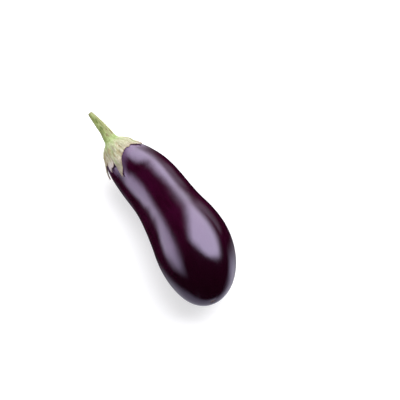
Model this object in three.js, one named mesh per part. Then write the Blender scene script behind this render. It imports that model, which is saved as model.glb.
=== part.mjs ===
// An eggplant lying on its side, in three pieces: the fruit, the lobed calyx that caps it, and
// the cut stem. Millimetres, +Z up, +X from the stem to the blossom end. The origin is on
// the narrow flat strip that the fruit rests on, which runs from the neck to the belly.
//
// Every piece is a skin round one curved centre line. A point of a skin is given by its station
// (the distance along that line from the stem's cut end), its angle round the line (0 at the
// +Y side, a quarter turn on top) and its radius, the distance from the line.
import * as THREE from 'three';
import { ParametricGeometry } from 'three/addons/geometries/ParametricGeometry.js';

const { clamp, euclideanModulo, lerp, mapLinear, radToDeg } = THREE.MathUtils;

// Driving dimensions, in millimetres.

// The centre line, from the stem's cut end to the blossom end: a long bow towards +Y. The stem
// end stands highest, the line is lowest in the neck, and it rises again through the belly.
const CENTRE_LINE = [
  [-153.9, -22.3, 58],
  [-135.4, -17.5, 49.4],
  [-117.6, -14.8, 41.7],
  [-97.8, -10.5, 34.3],
  [-74, -3.3, 28.6],
  [-45.4, 0, 30],
  [-16.9, 0, 33.3],
  [10.6, -1, 36.7],
  [38.7, -5.8, 37.8],
  [64.8, -12.3, 38.2],
  [82, -16, 39.3],
];

// The stem: station and radius, from the cut end to the collar of the calyx.
const STEM_OUTLINE = [
  [0, 2.6],
  [10, 3.8],
  [21, 5.1],
  [30, 6.4],
  [36, 7.3],
];

// The calyx: station and radius of its outside, from the collar that carries the stem to
// where it lies on the fruit as a thin leaf. The leaf thins further towards its lobes' tips.
const CALYX_OUTLINE = [
  [36.3, 7.4],
  [38.8, 11.1],
  [42, 14.5],
  [46, 17.5],
  [52, 20.5],
];
const LEAF_THICKNESS = 1.1;
const TIP_THICKNESS = 0.7;
const CALYX_GAP = 0.35;

// The calyx ends at this station, apart from its pointed lobes. Each lobe reaches to its own
// station at the angle of its tip, and is back at the margin at its other two angles (degrees).
// The sharper a lobe, the faster it narrows towards its tip.
const MARGIN_STATION = 53.4;
const LOBES = [
  { from: 8, tip: 42, to: 68, reach: 61, sharpness: 1.6 },
  { from: 74, tip: 142, to: 146, reach: 75, sharpness: 3 },
  { from: 106, tip: 160, to: 165, reach: 61.5, sharpness: 1.6 },
  { from: 184, tip: 198, to: 217, reach: 63.5, sharpness: 1.6 },
  { from: 212, tip: 236, to: 258, reach: 70, sharpness: 1.6 },
  { from: 258, tip: 288, to: 307, reach: 64, sharpness: 1.6 },
  { from: 306, tip: 338, to: 366, reach: 71, sharpness: 1.6 },
];
const LONGEST_REACH = Math.max(...LOBES.map((lobe) => lobe.reach));

// The fruit: half-widths at equal steps from its top to its blossom end. Each is multiplied by
// the height of a half circle at that step, so that both ends close round.
const FRUIT_TOP = 39.5;
const FRUIT_HALF_WIDTHS = [42, 37.2, 34.1, 31.7, 33.5, 39, 44.5, 48.1, 52.2];

// How finely the skins are divided, round the line and along it.
const FRUIT_SIDES = 44;
const FRUIT_ROWS = 40;
const CALYX_SIDES = 98;
const CALYX_OUTER_ROWS = 10;
const CALYX_INNER_ROWS = 8;
const STEM_SIDES = 24;

// The cavity under the calyx curves most near its top, so its rows gather there.
const INNER_ROW_EASING = 1.7;

const FRUIT_MATERIAL = new THREE.MeshStandardMaterial({ color: 0x27081c, roughness: 0.2, metalness: 0 });
const CALYX_MATERIAL = new THREE.MeshStandardMaterial({ color: 0xbfc29a, roughness: 0.65, metalness: 0 });
const STEM_MATERIAL = new THREE.MeshStandardMaterial({ color: 0x93a55c, roughness: 0.6, metalness: 0 });

// The curve through a row of points, as both the centre line and the fruit's width use it.
function smoothCurve(points) {
  return new THREE.CatmullRomCurve3(points, false, 'catmullrom', 0.5);
}

const centreLine = smoothCurve(CENTRE_LINE.map((point) => new THREE.Vector3(...point)));
centreLine.arcLengthDivisions = 600;
const lineLength = centreLine.getLength();
const fruitLength = lineLength - FRUIT_TOP;
const halfWidthCurve = smoothCurve(FRUIT_HALF_WIDTHS.map((width) => new THREE.Vector3(width, 0, 0)));

// Puts a point of a skin into the object's frame.
function place(station, angle, radius, target) {
  const share = clamp(station / lineLength, 0, 1);
  const along = centreLine.getTangentAt(share);
  const side = new THREE.Vector3(0, 0, 1).cross(along).normalize();
  const top = along.clone().cross(side);
  target.copy(centreLine.getPointAt(share));
  target.addScaledVector(side, radius * Math.cos(angle));
  target.addScaledVector(top, radius * Math.sin(angle));
}

// A closed skin, ring after ring. pointAt(row, angle, target) sets each point, and the first
// and the last row have no radius, so the skin ends in a point at each end.
function skin(rows, sides, pointAt) {
  const ringPoint = (u, v, target) => {
    const step = Math.round(u * sides) % sides;
    pointAt(Math.round(v * rows), (2 * Math.PI * step) / sides, target);
  };
  const geometry = new ParametricGeometry(ringPoint, sides, rows);
  geometry.computeVertexNormals();
  return geometry;
}

// A value on the straight lines between [station, value] pairs.
function valueAt(outline, station) {
  const after = outline.findIndex(([next]) => next >= station);
  if (after === 0) return outline[0][1];
  const [fromStation, fromValue] = outline[after - 1];
  const [toStation, toValue] = outline[after];
  return mapLinear(station, fromStation, toStation, fromValue, toValue);
}

function fruitRadius(station) {
  const share = clamp((station - FRUIT_TOP) / fruitLength, 0, 1);
  return halfWidthCurve.getPoint(share).x * 2 * Math.sqrt(share * (1 - share));
}

// The rows gather at both ends, and the underside is flat where the fruit rests.
function fruitGeometry() {
  return skin(FRUIT_ROWS, FRUIT_SIDES, (row, angle, target) => {
    const share = (1 - Math.cos((Math.PI * row) / FRUIT_ROWS)) / 2;
    const station = FRUIT_TOP + fruitLength * share;
    place(station, angle, fruitRadius(station), target);
    target.z = Math.max(target.z, 0);
  });
}

// How far the calyx reaches along the fruit at an angle.
function marginStation(angle) {
  const reaches = LOBES.map((lobe) => {
    const turn = lobe.from + euclideanModulo(radToDeg(angle) - lobe.from, 360);
    const rise = (turn - lobe.from) / (lobe.tip - lobe.from);
    const fall = (lobe.to - turn) / (lobe.to - lobe.tip);
    const share = Math.max(0, Math.min(rise, fall));
    return lerp(MARGIN_STATION, lobe.reach, share ** lobe.sharpness);
  });
  return Math.max(...reaches);
}

function calyxInside(station) {
  return fruitRadius(station + CALYX_GAP) + CALYX_GAP;
}

function calyxOutside(station) {
  const [leafStation] = CALYX_OUTLINE.at(-1);
  if (station < leafStation) return valueAt(CALYX_OUTLINE, station);
  const thickness = mapLinear(station, leafStation, LONGEST_REACH, LEAF_THICKNESS, TIP_THICKNESS);
  return calyxInside(station) + thickness;
}

// Flat collar first, then down the outside to the margin, over its edge, and back along the
// inside to the top of the fruit.
function calyxGeometry() {
  const [collar] = CALYX_OUTLINE[0];
  const firstInnerRow = 2 + CALYX_OUTER_ROWS;
  const lastRow = firstInnerRow + CALYX_INNER_ROWS;
  return skin(lastRow, CALYX_SIDES, (row, angle, target) => {
    if (row === 0) {
      place(collar, angle, 0, target);
    } else if (row < firstInnerRow) {
      const share = (row - 1) / CALYX_OUTER_ROWS;
      const station = lerp(collar, marginStation(angle), share);
      place(station, angle, calyxOutside(station), target);
    } else {
      const share = ((lastRow - row) / CALYX_INNER_ROWS) ** INNER_ROW_EASING;
      const station = lerp(FRUIT_TOP - CALYX_GAP, marginStation(angle), share);
      place(station, angle, row === lastRow ? 0 : calyxInside(station), target);
    }
  });
}

// A flat cut end, the outline, and a flat end against the collar.
function stemGeometry() {
  const [cut] = STEM_OUTLINE[0];
  const [base] = STEM_OUTLINE.at(-1);
  const rings = [[cut, 0], ...STEM_OUTLINE, [base, 0]];
  return skin(rings.length - 1, STEM_SIDES, (row, angle, target) => {
    const [station, radius] = rings[row];
    place(station, angle, radius, target);
  });
}

function piece(name, geometry, material) {
  const mesh = new THREE.Mesh(geometry, material);
  mesh.name = name;
  return mesh;
}

const eggplant = new THREE.Group();
eggplant.add(piece('fruit', fruitGeometry(), FRUIT_MATERIAL));
eggplant.add(piece('calyx', calyxGeometry(), CALYX_MATERIAL));
eggplant.add(piece('stem', stemGeometry(), STEM_MATERIAL));

export default eggplant;
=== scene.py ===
"""An eggplant lying on a pale floor in soft studio light.

The three pieces follow the CAD frame: the same centre line, widths and lobes, with a finer
surface. Every piece is a skin round one curved centre line. A point of a skin has a station (the
distance along that line from the stem's cut end), an angle round the line (0 at the +Y side, a
quarter turn on top) and a radius, the distance from the line. Shapes are worked out in
millimetres in the CAD's frame and made in metres.
"""

import math
from typing import NamedTuple

import bpy
import numpy as np
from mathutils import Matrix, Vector


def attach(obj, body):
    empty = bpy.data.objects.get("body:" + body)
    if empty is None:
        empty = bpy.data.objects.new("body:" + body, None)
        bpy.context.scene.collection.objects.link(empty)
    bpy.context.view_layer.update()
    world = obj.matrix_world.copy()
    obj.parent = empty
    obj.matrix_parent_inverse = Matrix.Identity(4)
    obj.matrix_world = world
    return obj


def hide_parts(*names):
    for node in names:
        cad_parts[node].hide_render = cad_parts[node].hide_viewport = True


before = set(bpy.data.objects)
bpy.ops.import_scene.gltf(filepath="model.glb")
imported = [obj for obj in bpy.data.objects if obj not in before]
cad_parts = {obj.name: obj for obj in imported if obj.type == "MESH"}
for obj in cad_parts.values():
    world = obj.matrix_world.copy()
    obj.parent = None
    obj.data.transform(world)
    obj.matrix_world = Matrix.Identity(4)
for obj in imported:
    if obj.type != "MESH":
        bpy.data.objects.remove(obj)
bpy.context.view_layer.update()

MM = 0.001

# ---------------------------------------------------------------- driving dimensions, in mm

# The centre line, from the stem's cut end to the blossom end.
CENTRE_LINE = [
    (-153.9, -22.3, 58),
    (-135.4, -17.5, 49.4),
    (-117.6, -14.8, 41.7),
    (-97.8, -10.5, 34.3),
    (-74, -3.3, 28.6),
    (-45.4, 0, 30),
    (-16.9, 0, 33.3),
    (10.6, -1, 36.7),
    (38.7, -5.8, 37.8),
    (64.8, -12.3, 38.2),
    (82, -16, 39.3),
]

# Where the fruit starts, and its half-widths at equal steps from there to the blossom end. Each is
# multiplied by the height of a half circle at that step, so that both ends close round.
FRUIT_TOP = 39.5
FRUIT_HALF_WIDTHS = [42, 37.2, 34.1, 31.7, 33.5, 39, 44.5, 48.1, 52.2]

# The stem runs on into the top of the fruit.
STEM_STATIONS = [0, 10, 21, 30, 36, 42]
STEM_RADII = [2.6, 3.8, 5.1, 6.4, 7.3, 7.8]

# The calyx domes out from the stem. Over the last few mm before its last station the dome turns
# into a thin leaf that lies on the fruit.
CALYX_STATIONS = [34.0, 36.3, 38.8, 42, 46, 52]
CALYX_RADII = [6.9, 8.0, 11.1, 14.5, 17.5, 20.5]
DOME_TO_LEAF = 6.0
LEAF_THICKNESS = 1.1
TIP_THICKNESS = 0.7
LEAST_THICKNESS = 0.45
LEAF_GAP = 0.2


class Lobe(NamedTuple):
    """A pointed lobe of the calyx. Its angles are in degrees round the centre line."""

    start: float  # the angle where it leaves the margin
    tip: float  # the angle of its tip
    end: float  # the angle where it is back at the margin
    reach: float  # the station of its tip
    sharpness: float  # how fast it narrows towards its tip
    lift: float  # how far its tip stands off the fruit
    lean: float  # how far its tip leans round the fruit, in degrees
    pale: float  # how pale and dry it is, from 0 to 1


# The calyx ends at this station, apart from its lobes.
MARGIN_STATION = 53.4
LOBES = [
    Lobe(8, 44, 68, 61, 1.6, 0.6, -2, 0.2),
    Lobe(74, 138.5, 140.5, 75, 3.0, 0.8, 4.5, 0.2),
    Lobe(106, 159.5, 164, 61.5, 1.6, 1.3, 0, 0.95),
    Lobe(184, 196, 216, 63.5, 1.6, 1.0, 2, 0.6),
    Lobe(212, 240, 260, 70, 1.6, 1.2, -4, 0.3),
    Lobe(258, 286, 306, 64, 1.6, 0.8, 3, 0.5),
    Lobe(306, 334, 364, 71, 1.6, 1.4, 5, 0.35),
]
LONGEST_REACH = max(lobe.reach for lobe in LOBES)

# Marks are given by a station, an angle in degrees and a radius: brown patches on the calyx, and
# dark green bruises and brown flecks on the stem. They are twice as long along the centre line as
# across it.
MARK_STRETCH = (1, 1, 0.5)
CALYX_PATCHES = [
    (45.3, 136, 2.6),
    (44.9, 152, 2.0),
    (51.8, 110, 2.0),
    (51.4, 126, 1.7),
    (48.8, 173, 2.8),
    (58.5, 150, 1.3),
    (50, 250, 2.6),
    (46, 300, 2.0),
    (56, 225, 2.2),
    (48, 20, 2.4),
    (58, 334, 2.0),
]
STEM_BRUISES = [
    (20, 118, 1.4),
    (9.8, 102, 1.1),
    (12.2, 113, 0.9),
    (25, 250, 1.9),
    (13, 300, 1.4),
    (30, 190, 1.5),
]
STEM_FLECKS = [
    (28, 56, 1.1),
    (30.7, 64, 0.8),
    (29, 108, 0.9),
    (31.3, 103, 0.7),
    (24, 84, 0.7),
    (2.2, 150, 1.6),
    (22, 330, 1.3),
    (17, 215, 1.1),
    (26.5, 160, 0.9),
    (8, 20, 1.0),
]

# Radii in mm at which the texture coordinates of each piece run round its centre line.
FRUIT_GRAIN = 25
CALYX_GRAIN = 20
STEM_GRAIN = 6

# ---------------------------------------------------------------- curves

# Keeps a division off zero.
NOT_ZERO = 1e-12


def natural_spline(values):
    """A smooth curve through equally spaced values, as a function of a share from 0 to 1."""
    y = np.asarray(values, float)
    last = len(y) - 1
    system = 4 * np.eye(last - 1) + np.eye(last - 1, k=1) + np.eye(last - 1, k=-1)
    bend = np.zeros_like(y)
    bend[1:-1] = np.linalg.solve(system, 6 * (y[:-2] - 2 * y[1:-1] + y[2:]))

    def at(share):
        t = np.clip(np.asarray(share, float), 0, 1) * last
        i = np.minimum(t.astype(int), last - 1)
        w = (t - i).reshape(t.shape + (1,) * (y.ndim - 1))
        v = 1 - w
        return v * y[i] + w * y[i + 1] + ((v**3 - v) * bend[i] + (w**3 - w) * bend[i + 1]) / 6

    return at


def smoothstep(low, high, x):
    """0 below low, 1 above high, and smooth between them."""
    t = np.clip((x - low) / (high - low), 0, 1)
    return t * t * (3 - 2 * t)


def hermite(xs, ys, x):
    """A curve through (xs, ys) that doesn't overshoot between them."""
    xs, ys = np.asarray(xs, float), np.asarray(ys, float)
    slopes = np.diff(ys) / np.diff(xs)
    before, after = slopes[:-1], slopes[1:]
    inner = np.where(before * after > 0, 2 * before * after / (before + after + NOT_ZERO), 0)
    tangents = np.concatenate([[slopes[0]], inner, [slopes[-1]]])
    i = np.clip(np.searchsorted(xs, x) - 1, 0, len(xs) - 2)
    step = xs[i + 1] - xs[i]
    t = np.clip((x - xs[i]) / step, 0, 1)
    return ((1 + 2 * t) * (1 - t) ** 2 * ys[i] + t * (1 - t) ** 2 * step * tangents[i]
            + t * t * (3 - 2 * t) * ys[i + 1] + t * t * (t - 1) * step * tangents[i + 1])


LINE_SAMPLES = 4000
line_points = natural_spline(CENTRE_LINE)(np.linspace(0, 1, LINE_SAMPLES))
line_steps = np.linalg.norm(np.diff(line_points, axis=0), axis=1)
line_stations = np.concatenate([[0], np.cumsum(line_steps)])
line_along = np.gradient(line_points, line_stations, axis=0)
LINE_LENGTH = line_stations[-1]
FRUIT_LENGTH = LINE_LENGTH - FRUIT_TOP


def section_frame(station):
    """Centre of the centre line at each station, and two unit vectors across it: side and top."""
    centre = np.stack([np.interp(station, line_stations, line_points[:, k]) for k in range(3)], -1)
    along = np.stack([np.interp(station, line_stations, line_along[:, k]) for k in range(3)], -1)
    side = np.cross((0.0, 0.0, 1.0), along)
    side /= np.linalg.norm(side, axis=-1, keepdims=True)
    top = np.cross(along, side)
    top /= np.linalg.norm(top, axis=-1, keepdims=True)
    return centre, side, top


def place(station, angle, radius):
    """Points in the CAD frame, in mm, from stations, angles and radii of one shape."""
    station, angle, radius = np.broadcast_arrays(station, angle, radius)
    centre, side, top = section_frame(station)
    return (centre + side * (radius * np.cos(angle))[..., None]
            + top * (radius * np.sin(angle))[..., None])


def waves(station, angle, lengths, count, seed, reach=FRUIT_GRAIN):
    """Smooth, seamless unevenness of about unit height over a skin: this many waves, each in a
    random direction and with a wavelength in mm between the two lengths, which are true to size
    at a radius of reach."""
    rng = np.random.default_rng(seed)
    x, y = reach * np.cos(angle), reach * np.sin(angle)
    total = 0
    for _ in range(count):
        direction = rng.normal(size=3)
        direction /= np.linalg.norm(direction)
        turn = 2 * math.pi / rng.uniform(*lengths)
        phase = rng.uniform(0, 2 * math.pi)
        across = direction[0] * x + direction[1] * y + direction[2] * station
        total = total + np.sin(turn * across + phase)
    return total / math.sqrt(count / 2)


# ---------------------------------------------------------------- meshes


def skin_mesh(name, rings, attributes):
    """A closed piece from rings of points (rows, sides, 3) in mm, with one middle point at each
    end. Every attribute holds one value or vector for each point of the rings."""
    rows, sides, _ = rings.shape
    index = np.arange(rows * sides).reshape(rows, sides)
    beside = np.roll(index, -1, axis=1)
    quads = np.stack([index[:-1], beside[:-1], beside[1:], index[1:]], -1).reshape(-1, 4)
    first_middle = rows * sides
    last_middle = first_middle + 1
    first_cap = [(b, a, first_middle) for a, b in zip(index[0].tolist(), beside[0].tolist())]
    last_cap = [(a, b, last_middle) for a, b in zip(index[-1].tolist(), beside[-1].tolist())]

    def with_middles(values):
        values = np.asarray(values, float).reshape(rows, sides, -1)
        middles = values[[0, -1]].mean(axis=1)
        return np.vstack([values.reshape(rows * sides, -1), middles])

    mesh = bpy.data.meshes.new(name)
    points = with_middles(rings) * MM
    mesh.from_pydata(points.tolist(), [], quads.tolist() + first_cap + last_cap)
    for key, values in attributes.items():
        values = with_middles(values)
        kind, field = ("FLOAT", "value") if values.shape[1] == 1 else ("FLOAT_VECTOR", "vector")
        layer = mesh.attributes.new(key, kind, "POINT")
        layer.data.foreach_set(field, values.astype(np.float32).ravel())
    mesh.polygons.foreach_set("use_smooth", [True] * len(mesh.polygons))
    mesh.validate()
    piece = bpy.data.objects.new(name, mesh)
    bpy.context.scene.collection.objects.link(piece)
    return piece


def straightened(station, angle, reach):
    """Texture coordinates in mm that follow a piece as if its centre line were straight."""
    station, angle = np.broadcast_arrays(station, angle)
    return np.stack([reach * np.cos(angle), reach * np.sin(angle), station], -1)


def marks(grain, reach, spots):
    """1 in the middle of each spot, falling to 0 round it."""
    total = 0
    for station, degrees, radius in spots:
        turn = math.radians(degrees)
        middle = (reach * math.cos(turn), reach * math.sin(turn), station)
        gap = np.linalg.norm((grain - middle) * MARK_STRETCH, axis=-1)
        total = np.maximum(total, np.exp(-((gap / radius) ** 2)))
    return total


def turns(sides):
    """Equally spaced angles round a skin."""
    return np.arange(sides) * 2 * math.pi / sides


# ---------------------------------------------------------------- the fruit

FRUIT_ROWS = 300
FRUIT_SIDES = 240
# How far the first and the last ring are from the ends, as an angle of the half circle that
# spaces the rings.
END_TURN = 0.008
# Heights of the slow swells and the fine ripple, and how softly the skin meets the floor.
SWELL = 0.35
RIPPLE = 0.05
FLOOR_GIVE = 0.25

# The section is not quite round. FACE points out of its upper front, and along the fruit's length
# that face is flattened, leans to one side and squares its shoulders by these shares of the width.
FACE = (0.404, -0.239, 0.883)
FACE_FLATNESS = [0.02, 0.03, 0, -0.03, -0.04, -0.025, -0.01, 0.01]
FACE_LEAN = [-0.035, -0.025, 0.005, 0.025, 0.01, 0.005, 0.01, 0.01]
FACE_SHOULDERS = [-0.04, 0.01, 0.03, 0.03, 0.025, 0.03, 0.02, 0.01]

# The small scar that the flower left: a dimple of this radius and depth with a puckered surface
# and an uneven edge. It is looked for within a region at the blossom end.
SCAR_RADIUS = 2.7
SCAR_DEPTH = 0.55
SCAR_PUCKER = 0.16
SCAR_UNEVENNESS = 0.45
SCAR_REGION = 20
FAR_FROM_SCAR = 99.0


def fruit_radius(station, angle):
    """The radius of the fruit's skin, its slow swells and fine ripple included."""
    share = np.clip((station - FRUIT_TOP) / FRUIT_LENGTH, 0, 1)
    round_ends = 2 * np.sqrt(share * (1 - share))
    width = natural_spline(FRUIT_HALF_WIDTHS)(share)
    _, side, top = section_frame(station)
    turn = angle - np.arctan2(top @ FACE, side @ FACE)
    facing = np.maximum(np.cos(turn), 0) ** 2
    unround = (natural_spline(FACE_FLATNESS)(share) * facing
               + natural_spline(FACE_LEAN)(share) * np.sin(2 * turn) / 2
               + natural_spline(FACE_SHOULDERS)(share) * facing * np.cos(2 * turn))
    swell = SWELL * (waves(station, angle, (55, 120), 10, seed=3) - 1)
    ripple = RIPPLE * waves(station, angle, (18, 40), 18, seed=5)
    return (width + swell + ripple) * (1 - unround) * round_ends


def rest_on_floor(points):
    """Presses a skin's underside flat on the floor with a soft edge."""
    points = points.copy()
    z = points[..., 2]
    points[..., 2] = (z + np.sqrt(z * z + FLOOR_GIVE * FLOOR_GIVE)) / 2
    return points


def make_fruit():
    """The fruit, with rows that gather at both ends and the scar at its blossom end."""
    share = (1 - np.cos(np.linspace(END_TURN, math.pi - END_TURN, FRUIT_ROWS))) / 2
    station = (FRUIT_TOP + FRUIT_LENGTH * share)[:, None]
    angle = turns(FRUIT_SIDES)[None, :]
    radius = fruit_radius(station, angle)
    at_scar = station > LINE_LENGTH - SCAR_REGION
    pucker = SCAR_PUCKER * waves(0 * station, angle, (1.8, 4.0), 16, seed=41, reach=radius)
    dimple = (SCAR_DEPTH + pucker) * np.exp(-((radius / SCAR_RADIUS) ** 2))
    points = rest_on_floor(place(station - dimple * at_scar, angle, radius))
    uneven = SCAR_UNEVENNESS * waves(0 * station, angle, (1.5, 4.5), 16, seed=43, reach=radius)
    from_scar = radius + uneven * np.minimum(radius / 2, 1)
    return skin_mesh("eggplant_fruit", points, {
        "grain": straightened(station, angle, FRUIT_GRAIN),
        "scar": np.where(at_scar, from_scar, FAR_FROM_SCAR),
        "from_calyx": station - margin_station(angle),
    })


# ---------------------------------------------------------------- the calyx

CALYX_SIDES = 720
OUTER_ROWS = 64
INNER_ROWS = 30

# How ragged the margin is, how far its rim bulges, and the radius at which it runs round the
# fruit.
RAGGEDNESS = 0.45
RIM_BULGE = 0.3
MARGIN_RADIUS = 24.0

# The hollow inside starts this far before the fruit's top. Its rows gather near there.
INNER_START = 0.3
INNER_ROW_EASING = 1.7
FIRST_INNER_SHARE = 0.01

# A lobe starts to lift this far before the margin, and leans over this length at its tip. It
# starts to go pale a little before the margin and is palest just short of its tip.
LIFT_LEAD = 4
LIFT_EASING = 1.5
LEAN_LENGTH = 9
PALE_LEAD = 3
PALEST_SHORT_OF_TIP = 1

# The relief of the outside grows to its full height between two stations. A rib runs up the
# middle of each lobe and fades towards the margin, and a groove runs between two lobes. Folds and
# veins run the same way and grow towards the margin.
RELIEF_START = 35.5
RELIEF_FULL = 44
RIB_HALF_WIDTH = 2.2
RIB_HEIGHT = 1.3
RIB_FADE = 0.75
GROOVE_SHARE = 0.35
LEAST_RIB_RADIUS = 8
LUMP_HEIGHT = 0.25
GRAIN_HEIGHT = 0.08
FOLD_HEIGHT = 0.3
FOLD_STRETCH = 0.22
FOLD_REACH = 15.0
FOLD_LEAST = 0.4
VEIN_HEIGHT = 0.07
VEIN_COUNT = 61
VEIN_WANDER = 2
VEIN_WANDER_LENGTH = 4


def lobe_shares(angle):
    """For each lobe, how far up its own height the margin stands at an angle, from 0 to 1."""
    degrees = np.degrees(angle)
    shares = []
    for lobe in LOBES:
        turn = lobe.start + np.mod(degrees - lobe.start, 360)
        rise = (turn - lobe.start) / (lobe.tip - lobe.start)
        fall = (lobe.end - turn) / (lobe.end - lobe.tip)
        shares.append(np.clip(np.minimum(rise, fall), 0, 1))
    return shares


def margin_station(angle):
    """How far the calyx reaches along the fruit at an angle."""
    station = MARGIN_STATION
    for lobe, share in zip(LOBES, lobe_shares(angle)):
        height = (lobe.reach - MARGIN_STATION) * share**lobe.sharpness
        station = np.maximum(station, MARGIN_STATION + height)
    return station


def midrib(station, angle):
    """1 along the middle of each lobe, falling to 0 between the lobes."""
    radius = np.maximum(fruit_radius(station, angle), LEAST_RIB_RADIUS)
    total = 0
    for lobe in LOBES:
        up = smoothstep(FRUIT_TOP, lobe.reach, station)
        middle = (lobe.start + lobe.end) / 2 * (1 - up) + lobe.tip * up
        off = np.mod(np.degrees(angle) - middle + 180, 360) - 180
        total = total + np.exp(-((np.radians(off) * radius / RIB_HALF_WIDTH) ** 2))
    return np.clip(total, 0, 1)


def lobe_lift(station, angle):
    """How far the leaf stands off the fruit, most at its tips."""
    total = 0
    for lobe, share in zip(LOBES, lobe_shares(angle)):
        up = smoothstep(MARGIN_STATION - LIFT_LEAD, lobe.reach, station)
        total = np.maximum(total, lobe.lift * up**LIFT_EASING * smoothstep(0, 0.3, share))
    return total


def lobe_lean(station, angle):
    """How far round the fruit the leaf leans, in radians, most at its tips."""
    total = 0
    for lobe, share in zip(LOBES, lobe_shares(angle)):
        up = smoothstep(lobe.reach - LEAN_LENGTH, lobe.reach, station)
        total = total + math.radians(lobe.lean) * up * smoothstep(0, 0.6, share)
    return total


def paleness(station, angle):
    """How pale the leaf is, most towards the tips of the pale lobes."""
    total = 0
    for lobe, share in zip(LOBES, lobe_shares(angle)):
        up = smoothstep(MARGIN_STATION - PALE_LEAD, lobe.reach - PALEST_SHORT_OF_TIP, station)
        total = np.maximum(total, lobe.pale * up * smoothstep(0.45, 0.85, share))
    return total


def near_tip(station, angle):
    """1 at the tip of each lobe, falling to 0 half way down it."""
    total = 0
    for lobe, share in zip(LOBES, lobe_shares(angle)):
        up = smoothstep((lobe.reach + MARGIN_STATION) / 2, lobe.reach, station)
        total = np.maximum(total, up * smoothstep(0.3, 0.7, share))
    return total


def calyx_inside(station, angle):
    """The radius of the hollow that holds the fruit."""
    under = np.minimum(station + INNER_START, LINE_LENGTH)
    on_fruit = fruit_radius(under, angle) + LEAF_GAP
    hollow = np.where(station > FRUIT_TOP - INNER_START, on_fruit, LEAF_GAP)
    return hollow + lobe_lift(station, angle)


def calyx_outside(station, angle, share):
    """The radius of the outside, where share goes from 0 at the stem to 1 at the margin."""
    leaf_start = CALYX_STATIONS[-1]
    inside = calyx_inside(station, angle)
    thin = np.clip((station - leaf_start) / (LONGEST_REACH - leaf_start), 0, 1)
    leaf = inside + LEAF_THICKNESS + (TIP_THICKNESS - LEAF_THICKNESS) * thin
    dome = hermite(CALYX_STATIONS, CALYX_RADII, station) + lobe_lift(station, angle)
    base = dome + (leaf - dome) * smoothstep(leaf_start - DOME_TO_LEAF, leaf_start, station)

    rib = RIB_HEIGHT * (midrib(station, angle) - GROOVE_SHARE) * (1 - RIB_FADE * share)
    lump = LUMP_HEIGHT * waves(station, angle, (7, 16), 24, seed=11)
    grain = GRAIN_HEIGHT * waves(station, angle, (2.5, 5), 24, seed=12)
    folds = waves(FOLD_STRETCH * station, angle, (2.4, 5.5), 30, seed=13, reach=FOLD_REACH)
    fold = FOLD_HEIGHT * folds * (FOLD_LEAST + (1 - FOLD_LEAST) * share)
    wander = VEIN_WANDER * np.sin(station / VEIN_WANDER_LENGTH)
    vein = VEIN_HEIGHT * np.sin(VEIN_COUNT * angle + wander) * share
    relief = (rib + lump + grain + fold + vein) * smoothstep(RELIEF_START, RELIEF_FULL, station)
    outside = base + relief
    return np.where(station < FRUIT_TOP, outside, np.maximum(outside, inside + LEAST_THICKNESS))


def leaf_place(station, angle, radius):
    """Points of the calyx, whose lobes lean round the fruit."""
    return place(station, angle + lobe_lean(station, angle), radius)


def make_calyx():
    """The calyx: down its outside to the ragged margin, over the rim and back along its inside."""
    angle = turns(CALYX_SIDES)[None, :]
    around = 0 * angle
    margin = margin_station(angle) + RAGGEDNESS * waves(around, angle, (3, 7), 16, seed=21)
    collar = CALYX_STATIONS[0]
    outer_share = np.linspace(0, 1, OUTER_ROWS)[:, None]
    outer_station = collar + (margin - collar) * outer_share
    outer = leaf_place(outer_station, angle, calyx_outside(outer_station, angle, outer_share))
    rim_radius = (calyx_outside(margin, angle, 1.0) + calyx_inside(margin, angle)) / 2
    rim = leaf_place(margin + RIM_BULGE, angle, rim_radius)
    inner_share = np.linspace(1, FIRST_INNER_SHARE, INNER_ROWS)[:, None] ** INNER_ROW_EASING
    inner_start = FRUIT_TOP - INNER_START
    inner_station = inner_start + (margin - inner_start) * inner_share
    inner = leaf_place(inner_station, angle, calyx_inside(inner_station, angle))
    station = np.concatenate([outer_station, margin, inner_station])
    share = np.concatenate([outer_share + around, 1 + around, inner_share + around])
    slope = np.gradient(margin[0], angle[0]) / MARGIN_RADIUS
    grain = straightened(station, angle, CALYX_GRAIN)
    return skin_mesh("eggplant_calyx", np.concatenate([outer, rim, inner]), {
        "grain": grain,
        "patches": marks(grain, CALYX_GRAIN, CALYX_PATCHES),
        "share": share,
        "edge": (margin - station) / np.sqrt(1 + slope**2),
        "pale": paleness(station, angle),
        "tip": near_tip(station, angle),
    })


# ---------------------------------------------------------------- the stem

STEM_SIDES = 180
STEM_ROWS = 150

# The stem narrows by a share of its radius over a short length at its cut rim. Its section has
# blunt corners and fine ridges, whose heights are shares of the radius, as the lumps' are.
RIM_NARROWING = 0.22
RIM_LENGTH = 0.55
CORNER_COUNT = 5
CORNER_HEIGHT = 0.045
CORNER_START = 0.6
RIDGE_COUNT = 13
RIDGE_HEIGHT = 0.012
STEM_LUMP_HEIGHT = 0.03
# Along the stem, the corners and the ridges move on by a radian of their own wave over these.
CORNER_DRIFT = 60
RIDGE_DRIFT = 25

# The shallow dish of the cut face, from near its middle to the rim: shares of the radius there,
# and depths in mm.
CUT_SHARES = [0.12, 0.3, 0.5, 0.7, 0.86, 0.95]
CUT_DEPTHS = [0.45, 0.5, 0.35, 0.15, 0.03, 0.0]


def stem_radius(station, angle):
    """The radius of the stem's side."""
    base = hermite(STEM_STATIONS, STEM_RADII, station)
    base = base * (1 - RIM_NARROWING * np.exp(-station / RIM_LENGTH))
    corner_phase = CORNER_COUNT * angle + CORNER_START + station / CORNER_DRIFT
    corners = CORNER_HEIGHT * np.cos(corner_phase)
    ridges = RIDGE_HEIGHT * np.cos(RIDGE_COUNT * angle + station / RIDGE_DRIFT)
    lumps = STEM_LUMP_HEIGHT * waves(station, angle, (6, 18), 16, seed=31, reach=STEM_GRAIN)
    return base * (1 + corners + ridges + lumps)


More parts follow.
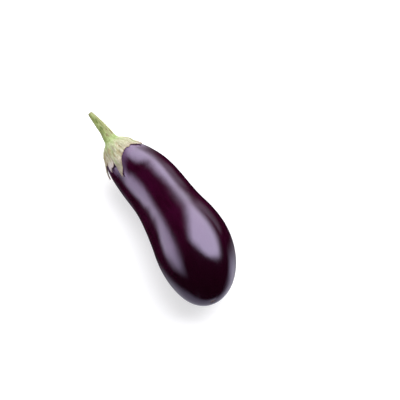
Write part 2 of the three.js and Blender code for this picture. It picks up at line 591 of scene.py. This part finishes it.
def make_stem():
    """The stem: its cut face from the middle out, then its side down into the fruit."""
    angle = turns(STEM_SIDES)[None, :]
    around = 0 * angle
    cut_share = np.array(CUT_SHARES)[:, None] + around
    cut_station = np.array(CUT_DEPTHS)[:, None] + around
    side_station = np.linspace(0, STEM_STATIONS[-1], STEM_ROWS)[:, None] + around
    cut_face = place(cut_station, angle, stem_radius(around, angle) * cut_share)
    side = place(side_station, angle, stem_radius(side_station, angle))
    station = np.concatenate([cut_station, side_station])
    grain = straightened(station, angle, STEM_GRAIN)
    return skin_mesh("eggplant_stem", np.concatenate([cut_face, side]), {
        "grain": grain,
        "bruises": marks(grain, STEM_GRAIN, STEM_BRUISES),
        "flecks": marks(grain, STEM_GRAIN, STEM_FLECKS),
        "cut": np.concatenate([cut_share, 1 + side_station]),
    })


# ---------------------------------------------------------------- materials


def new_material(name):
    """A material with one shader, and that shader."""
    material = bpy.data.materials.new(name)
    material.use_nodes = True
    nodes = material.node_tree.nodes
    nodes.clear()
    output = nodes.new("ShaderNodeOutputMaterial")
    shader = nodes.new("ShaderNodeBsdfPrincipled")
    material.node_tree.links.new(shader.outputs["BSDF"], output.inputs["Surface"])
    return material, shader


class Nodes:
    """Short ways to add shader nodes to a material or a world. A value may be a number, a vector,
    a colour or another node's output."""

    # The Mix node has its colour sockets at these places, among others of the same name.
    MIX_A = 6
    MIX_B = 7
    MIX_RESULT = 2

    def __init__(self, owner):
        self.tree = owner.node_tree

    def link(self, value, socket):
        """Sets a socket to a constant, or links another node's output to it."""
        if isinstance(value, bpy.types.NodeSocket):
            self.tree.links.new(value, socket)
        else:
            socket.default_value = value

    def attribute(self, name, output="Fac"):
        """What skin_mesh stored on the mesh under this name."""
        node = self.tree.nodes.new("ShaderNodeAttribute")
        node.attribute_name = name
        return node.outputs[output]

    def noise(self, vector, scale, detail=3.0, roughness=0.5):
        """Noise from 0 to 1, with about this many lumps to a mm."""
        node = self.tree.nodes.new("ShaderNodeTexNoise")
        self.link(vector, node.inputs["Vector"])
        self.link(scale, node.inputs["Scale"])
        self.link(detail, node.inputs["Detail"])
        self.link(roughness, node.inputs["Roughness"])
        return node.outputs["Fac"]

    def stretch(self, grain, scale):
        """Texture coordinates scaled along the centre line, so that noise is drawn out along it."""
        node = self.tree.nodes.new("ShaderNodeMapping")
        self.link(grain, node.inputs["Vector"])
        self.link((1.0, 1.0, scale), node.inputs["Scale"])
        return node.outputs["Vector"]

    def math(self, operation, a, b):
        """The result of an operation on two numbers."""
        node = self.tree.nodes.new("ShaderNodeMath")
        node.operation = operation
        self.link(a, node.inputs[0])
        self.link(b, node.inputs[1])
        return node.outputs[0]

    def dot(self, a, b):
        """The dot product of two vectors."""
        node = self.tree.nodes.new("ShaderNodeVectorMath")
        node.operation = "DOT_PRODUCT"
        self.link(a, node.inputs[0])
        self.link(b, node.inputs[1])
        return node.outputs["Value"]

    def station(self, grain):
        """The station, which texture coordinates hold as their third number."""
        return self.dot(grain, (0, 0, 1))

    def remap(self, value, low, high, to_low=0.0, to_high=1.0):
        """Takes low to to_low and high to to_high, smoothly, and keeps to them beyond."""
        node = self.tree.nodes.new("ShaderNodeMapRange")
        node.interpolation_type = "SMOOTHSTEP"
        self.link(value, node.inputs["Value"])
        self.link(low, node.inputs["From Min"])
        self.link(high, node.inputs["From Max"])
        self.link(to_low, node.inputs["To Min"])
        self.link(to_high, node.inputs["To Max"])
        return node.outputs["Result"]

    def fade(self, value, low, high):
        """1 below low, 0 above high, and smooth between them."""
        return self.remap(value, low, high, 1.0, 0.0)

    def uneven(self, vector, scale, height):
        """Noise to either side of 0, over this height."""
        return self.math("MULTIPLY", self.math("SUBTRACT", self.noise(vector, scale), 0.5), height)

    def spots(self, name, grain, scale, low, high):
        """An attribute made by marks, with its edges broken up by noise."""
        broken_up = self.math("ADD", self.attribute(name), self.uneven(grain, scale, 0.9))
        return self.remap(broken_up, low, high)

    def mix(self, share, a, b, blend="MIX"):
        """Colour a with colour b over it by a share."""
        node = self.tree.nodes.new("ShaderNodeMix")
        node.data_type = "RGBA"
        node.blend_type = blend
        self.link(share, node.inputs["Factor"])
        self.link(a, node.inputs[self.MIX_A])
        self.link(b, node.inputs[self.MIX_B])
        return node.outputs[self.MIX_RESULT]

    def layers(self, colour, *layers):
        """A colour with others laid over it, each by its share times its strength."""
        for share, strength, over in layers:
            colour = self.mix(self.math("MULTIPLY", share, strength), colour, over)
        return colour

    def grey(self, value):
        """A grey that may be brighter than white."""
        node = self.tree.nodes.new("ShaderNodeCombineColor")
        for key in ("Red", "Green", "Blue"):
            self.link(value, node.inputs[key])
        return node.outputs[0]

    def bump(self, height, strength, distance_mm, normal=None):
        """A normal that follows a height, on top of another normal if there is one."""
        node = self.tree.nodes.new("ShaderNodeBump")
        self.link(strength, node.inputs["Strength"])
        self.link(distance_mm * MM, node.inputs["Distance"])
        self.link(height, node.inputs["Height"])
        if normal is not None:
            self.link(normal, node.inputs["Normal"])
        return node.outputs["Normal"]


def srgb(r, g, b):
    """A colour given from 0 to 255, as the shader's linear RGBA."""
    linear = [c / 255 / 12.92 if c <= 10 else ((c / 255 + 0.055) / 1.055) ** 2.4 for c in (r, g, b)]
    return (*linear, 1.0)


SKIN_DARK = srgb(33, 0, 16)
SKIN_PURPLE = srgb(42, 1, 25)
SKIN_STREAK = srgb(54, 4, 34)
SKIN_BLOSSOM_END = srgb(20, 0, 8)
# Paler skin beside the calyx, with a painted highlight in it.
SKIN_PALE_AND_SHEEN = srgb(100, 76, 106)
SCAR_SURROUND = srgb(44, 30, 30)
SCAR_TAN = srgb(96, 76, 58)
SCAR_PIT = srgb(46, 34, 28)
# The waxy skin mirrors more than bare flesh would, with a violet cast.
SKIN_IOR = 1.9
SKIN_GLOSS_TINT = (0.81, 0.69, 1.0, 1.0)

LEAF_GREEN = srgb(142, 162, 100)
LEAF_PALE_GREEN = srgb(190, 202, 158)
LEAF_STRAW = srgb(158, 150, 118)
LEAF_CREAM = srgb(196, 197, 168)
LEAF_VEIN = srgb(124, 144, 82)
LEAF_RUST = srgb(132, 100, 60)
LEAF_PATCH = srgb(134, 114, 70)
LEAF_BLUSH = srgb(158, 132, 126)
LEAF_DRY = srgb(206, 194, 204)
LEAF_TIP = srgb(120, 102, 92)
LEAF_MARGIN = srgb(132, 104, 90)
LEAF_SPECULAR = 0.4

# Where the calyx and the stem meet, both fade into these two.
JOINT_GREEN = srgb(138, 160, 90)
JOINT_PALE_GREEN = srgb(168, 186, 124)

STEM_GREEN = srgb(108, 122, 52)
STEM_FIBRE = srgb(168, 180, 106)
STEM_PALE = srgb(170, 186, 124)
STEM_BEIGE_AND_SHEEN = srgb(154, 144, 112)
STEM_BRUISE = srgb(86, 106, 36)
STEM_FLECK = srgb(118, 92, 56)
STEM_DRIED = srgb(130, 118, 88)
CUT_PITH = srgb(190, 182, 142)
CUT_BROWN = srgb(126, 112, 78)
STEM_SPECULAR = 0.45
# Its dot product with the texture coordinates is 1 along the middle of the stem's side with a
# painted highlight.
STEM_SHEEN_SIDE = (0.107, 0.128, 0)


def skin_material():
    """Glossy purple-black skin, darkest at the blossom end, with paler skin and a painted highlight
    by the calyx.
    """
    material, shader = new_material("eggplant_skin")
    n = Nodes(material)
    grain = n.attribute("grain", "Vector")
    along = n.stretch(grain, 0.12)
    cloud = n.remap(n.noise(grain, 0.035, 2.0), 0.35, 0.7)
    streak = n.remap(n.noise(along, 0.45, 4.0, 0.6), 0.35, 0.75)
    # The skin is darker towards the blossom end.
    toward_blossom_end = n.remap(n.station(grain), 178.0, 226.0)
    from_calyx = n.math("ADD", n.attribute("from_calyx"), n.uneven(along, 0.4, 6.0))
    from_scar = n.attribute("scar")
    bruised = n.fade(from_scar, 2.0, 4.6)
    scar = n.fade(from_scar, 1.3, 2.6)
    colour = n.layers(
        n.mix(cloud, SKIN_DARK, SKIN_PURPLE),
        (streak, 0.5, SKIN_STREAK),
        (toward_blossom_end, 0.8, SKIN_BLOSSOM_END),
        # Beside the calyx the skin is paler of its own, and lighter still by a painted highlight.
        (n.fade(from_calyx, -0.5, 11.0), 0.75, SKIN_PALE_AND_SHEEN),
        (bruised, 0.7, SCAR_SURROUND),
        (scar, 1.0, SCAR_TAN),
        (n.fade(from_scar, 0.3, 1.2), 0.8, SCAR_PIT),
    )
    n.link(colour, shader.inputs["Base Color"])
    rough = n.remap(n.noise(grain, 0.12), 0.3, 0.7, 0.1, 0.14)
    rough = n.math("ADD", rough, n.math("MULTIPLY", n.math("MAXIMUM", scar, bruised), 0.3))
    n.link(rough, shader.inputs["Roughness"])
    shader.inputs["IOR"].default_value = SKIN_IOR
    shader.inputs["Specular Tint"].default_value = SKIN_GLOSS_TINT
    dents = n.noise(n.stretch(grain, 0.5), 0.16, 2.0, 0.55)
    pores = n.bump(n.noise(grain, 1.6, 2.0), 0.07, 0.1)
    n.link(n.bump(dents, 0.2, 0.5, pores), shader.inputs["Normal"])
    return material


def calyx_material():
    """Green by the stem, cream to pinkish beige towards the lobes, with dry brown margins."""
    material, shader = new_material("eggplant_calyx")
    n = Nodes(material)
    grain = n.attribute("grain", "Vector")
    along = n.stretch(grain, 0.2)
    from_edge = n.attribute("edge")
    mottle = n.remap(n.noise(grain, 0.16, 4.0, 0.6), 0.38, 0.64)
    fibre = n.remap(n.noise(along, 1.1, 4.0, 0.65), 0.35, 0.68)
    toward_lobes = n.math("ADD", n.attribute("share"), n.uneven(along, 0.3, 0.8))
    vein = n.remap(n.noise(n.stretch(grain, 0.12), 0.55, 3.0, 0.55), 0.52, 0.64)
    rust = n.remap(n.noise(n.stretch(grain, 0.4), 0.3, 5.0, 0.65), 0.54, 0.66)
    green = n.mix(mottle, LEAF_GREEN, LEAF_PALE_GREEN)
    cream = n.mix(fibre, LEAF_STRAW, LEAF_CREAM)
    colour = n.layers(
        n.mix(n.remap(toward_lobes, 0.0, 0.55), green, cream),
        (vein, 0.55, LEAF_VEIN),
        (rust, 0.7, LEAF_RUST),
        (n.spots("patches", grain, 0.5, 0.2, 0.9), 0.5, LEAF_PATCH),
        (n.fade(from_edge, 1.0, 6.0), 0.3, LEAF_BLUSH),
        (n.attribute("pale"), 0.8, LEAF_DRY),
        # Each lobe grows darker towards its tip.
        (n.attribute("tip"), 0.6, LEAF_TIP),
        (n.fade(from_edge, 0.1, 1.1), 0.5, LEAF_MARGIN),
        (n.fade(n.station(grain), 35.0, 39.5), 0.85, n.mix(mottle, JOINT_GREEN, JOINT_PALE_GREEN)),
    )
    n.link(colour, shader.inputs["Base Color"])
    n.link(n.remap(fibre, 0.0, 1.0, 0.5, 0.66), shader.inputs["Roughness"])
    shader.inputs["Specular IOR Level"].default_value = LEAF_SPECULAR
    height = n.math("ADD", n.math("MULTIPLY", fibre, 0.6), n.noise(grain, 0.9, 4.0))
    n.link(n.bump(height, 0.6, 0.4), shader.inputs["Normal"])
    return material


def stem_material():
    """Fibrous green with a painted highlight down one side, bruises, brown flecks and a dry cut
    end.
    """
    material, shader = new_material("eggplant_stem")
    n = Nodes(material)
    grain = n.attribute("grain", "Vector")
    from_cut = n.attribute("cut")
    fibre = n.remap(n.noise(n.stretch(grain, 0.1), 1.1, 4.0, 0.6), 0.35, 0.7)
    patch = n.remap(n.noise(grain, 0.12), 0.4, 0.62)
    beige = n.remap(n.noise(n.stretch(grain, 0.15), 0.35, 2.0), 0.54, 0.66)
    # A painted highlight down one side of the stem, in the beige of the streaks.
    sheen_side = n.remap(n.dot(grain, STEM_SHEEN_SIDE), 0.5, 1.0)
    beige = n.math("MAXIMUM", n.math("MULTIPLY", beige, 0.45), n.math("MULTIPLY", sheen_side, 0.4))
    fleck = n.remap(n.noise(n.stretch(grain, 0.6), 0.8, 3.0, 0.6), 0.59, 0.66)
    flecks = n.spots("flecks", grain, 1.0, 0.25, 0.6)
    cut_face = n.mix(n.remap(from_cut, 0.35, 0.7), CUT_PITH, CUT_BROWN)
    colour = n.layers(
        n.mix(fibre, STEM_GREEN, STEM_FIBRE),
        (patch, 0.5, STEM_PALE),
        # Beige streaks, and the painted highlight down one side.
        (beige, 1.0, STEM_BEIGE_AND_SHEEN),
        (n.spots("bruises", grain, 0.7, 0.25, 0.75), 0.75, STEM_BRUISE),
        (n.math("MAXIMUM", n.math("MULTIPLY", fleck, 0.7), flecks), 0.75, STEM_FLECK),
        (n.fade(from_cut, 0.92, 1.02), 1.0, cut_face),
        (n.remap(n.station(grain), 29.0, 35.0), 0.85, n.mix(patch, JOINT_GREEN, JOINT_PALE_GREEN)),
        (n.fade(from_cut, 1.0, 4.0), 0.5, STEM_DRIED),
    )
    n.link(colour, shader.inputs["Base Color"])
    n.link(n.remap(fibre, 0.0, 1.0, 0.42, 0.6), shader.inputs["Roughness"])
    shader.inputs["Specular IOR Level"].default_value = STEM_SPECULAR
    height = n.math("ADD", fibre, n.math("MULTIPLY", n.noise(grain, 1.4), 0.5))
    n.link(n.bump(height, 0.5, 0.35), shader.inputs["Normal"])
    return material


# ---------------------------------------------------------------- camera, light and floor

# A direction from the object is an azimuth from +X towards +Y and an elevation, in degrees.

# The camera looks at AIM from a direction and a distance in metres, through a lens in mm.
AIM = Vector((-18.3, 29.1, 38.0)) * MM
CAMERA_FROM = (-30.6, 62.0)
CAMERA_DISTANCE = 0.9444
CAMERA_NEAREST = 0.05
LENS = 85.0
SENSOR = 36.0

BLACK = (0, 0, 0, 1)
WHITE = (1, 1, 1, 1)
DAYLIGHT = (0.97, 0.97, 1.0, 1)
EVENING = (0.95, 0.93, 1.0, 1)
TABLE = (0.86, 0.87, 1.0, 1)
PALE_TABLE = (0.88, 0.88, 1.0, 1)


class Pane(NamedTuple):
    """A flat pane of light. Each corner is a direction and how softly the edge that starts there
    fades, in degrees too."""

    corners: list
    radiance: float
    colour: tuple


# The panes behind and on the left make the long highlights. The table panes are the pale surface
# below, as the glossy skin mirrors it.
PANES = {
    "behind": Pane(
        [(149, 21, 13), (-149, 68, 8), (43, 66, 8), (60, 33, 14), (74, 19, 20), (111, 20, 18),
         (145, 11, 14)],
        4.7, DAYLIGHT),
    "behind_low": Pane(
        [(138, 2, 10), (139, 16, 20), (152, 19, 22), (146, -22, 13)],
        7.0, DAYLIGHT),
    "behind_bar": Pane(
        [(101, -6, 4), (97, 2, 5), (134, 14, 4), (129, -10, 16)],
        0.6, DAYLIGHT),
    "left": Pane(
        [(-155, -1, 10), (-141, 24, 17), (-123, 38, 18), (-90, 20, 14), (-121, -14, 14),
         (-131, -11, 12)],
        2.85, EVENING),
    "table_front": Pane(
        [(-142, -59, 9), (-107, -40, 13), (-70, -21, 12), (0, -37, 16), (48, -43, 12),
         (90, -63, 12), (160, -73, 14)],
        0.62, TABLE),
    "table_right": Pane(
        [(55, -37, 26), (76, -9, 10), (72, -10, 16), (97, -56, 29)],
        2.9, PALE_TABLE),
}

# A faint even light for the gloss, and a stronger one for what isn't glossy, which is stronger
# from one direction and weaker from the other side by this share.
GLOSS_FILL = 0.006
DIFFUSE_FILL = 0.32
DIFFUSE_FROM = (-125, 30)
DIFFUSE_LEAN = 0.8

FLOOR_REACH = 8.0
FLOOR_COLOUR = (0.6, 0.6, 0.605, 1.0)
FLOOR_ROUGHNESS = 0.9
FLOOR_SPECULAR = 0.1
FLOOR_GLOW = 0.52


def toward(azimuth, elevation):
    """Unit vector in a direction."""
    a, e = math.radians(azimuth), math.radians(elevation)
    return Vector((math.cos(a) * math.cos(e), math.sin(a) * math.cos(e), math.sin(e)))


def make_camera():
    """The camera, which looks at AIM."""
    camera = bpy.data.objects.new("camera", bpy.data.cameras.new("camera"))
    camera.data.lens = LENS
    camera.data.sensor_width = SENSOR
    camera.data.clip_start = CAMERA_NEAREST
    back = toward(*CAMERA_FROM)
    camera.location = AIM + back * CAMERA_DISTANCE
    camera.rotation_euler = (-back).to_track_quat("-Z", "Y").to_euler()
    bpy.context.scene.collection.objects.link(camera)
    bpy.context.scene.camera = camera


def pane_light(n, heading, pane):
    """The light that a pane sends from the direction that heading holds."""
    points = [toward(azimuth, elevation) for azimuth, elevation, _ in pane.corners]
    middle = sum(points, Vector())
    light = pane.radiance
    for first, second, (_, _, softness) in zip(points, points[1:] + points[:1], pane.corners):
        inward = first.cross(second).normalized()
        if inward.dot(middle) < 0:
            inward = -inward
        edge = math.sin(math.radians(softness))
        light = n.math("MULTIPLY", n.remap(n.dot(heading, inward), -edge, edge), light)
    return light


def make_lights():
    """A studio of soft panes round the object, which the camera sees as a plain white backdrop."""
    world = bpy.data.worlds.new("studio")
    bpy.context.scene.world = world
    world.use_nodes = True
    world.node_tree.nodes.clear()
    n = Nodes(world)
    output = n.tree.nodes.new("ShaderNodeOutputWorld")
    background = n.tree.nodes.new("ShaderNodeBackground")
    path = n.tree.nodes.new("ShaderNodeLightPath")
    heading = n.tree.nodes.new("ShaderNodeTexCoord").outputs["Generated"]
    lean = n.math("MULTIPLY", n.dot(heading, toward(*DIFFUSE_FROM)), DIFFUSE_LEAN)
    diffuse = n.math("MULTIPLY", n.math("ADD", lean, 1.0), DIFFUSE_FILL)
    fill = n.math("ADD", GLOSS_FILL, n.math("MULTIPLY", path.outputs["Is Diffuse Ray"], diffuse))
    light = n.mix(fill, BLACK, DAYLIGHT)
    for pane in PANES.values():
        shine = n.mix(1.0, n.grey(pane_light(n, heading, pane)), pane.colour, "MULTIPLY")
        light = n.mix(1.0, light, shine, "ADD")
    light = n.mix(path.outputs["Is Camera Ray"], light, WHITE)
    n.link(light, background.inputs["Color"])
    n.link(background.outputs["Background"], output.inputs["Surface"])


def make_floor():
    """A pale floor that glows a little. The skin mirrors the table panes in its place."""
    mesh = bpy.data.meshes.new("floor")
    low, high = -FLOOR_REACH, FLOOR_REACH
    mesh.from_pydata([(low, low, 0), (high, low, 0), (high, high, 0), (low, high, 0)],
                     [], [(0, 1, 2, 3)])
    floor = bpy.data.objects.new("floor", mesh)
    bpy.context.scene.collection.objects.link(floor)
    material, shader = new_material("floor")
    shader.inputs["Base Color"].default_value = FLOOR_COLOUR
    shader.inputs["Roughness"].default_value = FLOOR_ROUGHNESS
    shader.inputs["Specular IOR Level"].default_value = FLOOR_SPECULAR
    shader.inputs["Emission Strength"].default_value = FLOOR_GLOW
    shader.inputs["Emission Color"].default_value = WHITE
    mesh.materials.append(material)
    floor.visible_glossy = False
    floor.visible_shadow = False


# ---------------------------------------------------------------- put together

bpy.context.scene.view_settings.view_transform = "Standard"
make_camera()
make_lights()
make_floor()

for piece, node, slot, material in (
    (make_fruit(), "fruit", "skin", skin_material()),
    (make_calyx(), "calyx", "calyx", calyx_material()),
    (make_stem(), "stem", "stem", stem_material()),
):
    piece.data.materials.append(material)
    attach(piece, "root")
    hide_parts(node)
